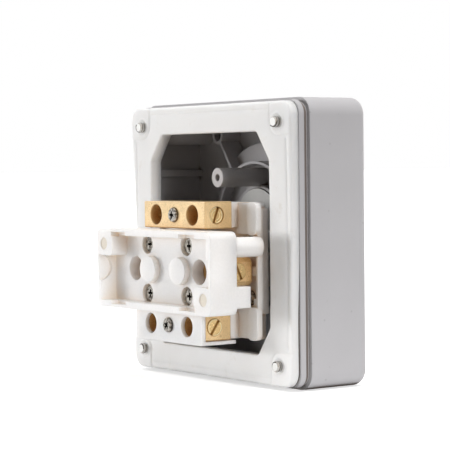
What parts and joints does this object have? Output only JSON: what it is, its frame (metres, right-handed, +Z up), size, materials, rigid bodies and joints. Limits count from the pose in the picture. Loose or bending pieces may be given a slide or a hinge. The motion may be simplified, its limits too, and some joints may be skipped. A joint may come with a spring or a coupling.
{
  "type": "weatherproof isolator switch",
  "caption": "Square grey front unit of a weatherproof isolator: rotary handle, sealing gasket with captive screws, and a white switch mechanism with brass cable terminals behind.",
  "frame": {"origin": "centre of the cover screw pattern, in the plane of the gasket's rear face", "axes": "+Y to the rear, into the matching box; +Z up; +X to the right as seen from the handle side"},
  "size_m": [0.101, 0.0765, 0.101],
  "materials": {
    "grey_shell": "moulded, fine satin",
    "gasket_rubber": "soft, matt",
    "stainless": "turned",
    "black_rubber": "matt",
    "grey_handle": "moulded, fine satin",
    "grey_drive": "moulded",
    "zinc_steel": "plated",
    "white_base": "moulded",
    "white_cover": "moulded, light gloss",
    "brass_bar": "drawn",
    "brass_screw": "turned",
    "copper_strip": "pressed strip",
    "silver_tip": "riveted",
    "spring_steel": "wire"
  },
  "bodies": {
    "enclosure": {"housing": "grey_shell", "gasket": "gasket_rubber", "cover_screws": "stainless", "cover_screw_washers": "black_rubber", "mechanism_base": "white_base", "contact_chamber": "white_base", "terminal_cover": "white_cover", "terminal_cover_screws": "zinc_steel", "mechanism_screws": "zinc_steel", "chamber_screws": "zinc_steel", "neutral_bar": "brass_bar", "neutral_bar_screws": "brass_screw", "neutral_fixing_screw": "zinc_steel", "earth_bar": "brass_bar", "earth_bar_screws": "brass_screw", "earth_fixing_screw": "zinc_steel", "earth_bar_cover": "white_cover", "line_terminal": "brass_bar", "load_terminal": "brass_bar", "line_terminal_screw": "brass_screw", "load_terminal_screw": "brass_screw", "line_contact": "copper_strip", "load_contact": "copper_strip", "fixed_contact_tips": "silver_tip", "contact_spring": "spring_steel"},
    "handle_body": {"handle": "grey_handle", "handle_o_ring": "black_rubber", "drive_crank": "grey_drive", "crank_screw": "zinc_steel"},
    "slide_body": {"cam_slide": "grey_drive"},
    "carrier_body": {"contact_carrier": "white_base", "contact_bridge": "copper_strip", "bridge_tips": "silver_tip"}
  },
  "joints": [
    {"name": "handle_turn", "type": "hinge", "parent": "enclosure", "child": "handle_body", "pos_m": [0, -0.028, 0.0055], "axis": [0, 1, 0], "range_deg": [0, 90]},
    {"name": "cam_travel", "type": "slide", "parent": "enclosure", "child": "slide_body", "axis": [-1, 0, 0], "range_m": [0, 0.0138]},
    {"name": "contact_travel", "type": "slide", "parent": "enclosure", "child": "carrier_body", "axis": [0, 1, 0], "range_m": [0, 0.0036], "deforming": ["contact_spring"]}
  ],
  "couplings": [
    {"joint": "cam_travel", "follows": "handle_turn", "m_per_rad": 0.0087781},
    {"joint": "contact_travel", "follows": "handle_turn", "m_per_rad": 0.0022282}
  ]
}
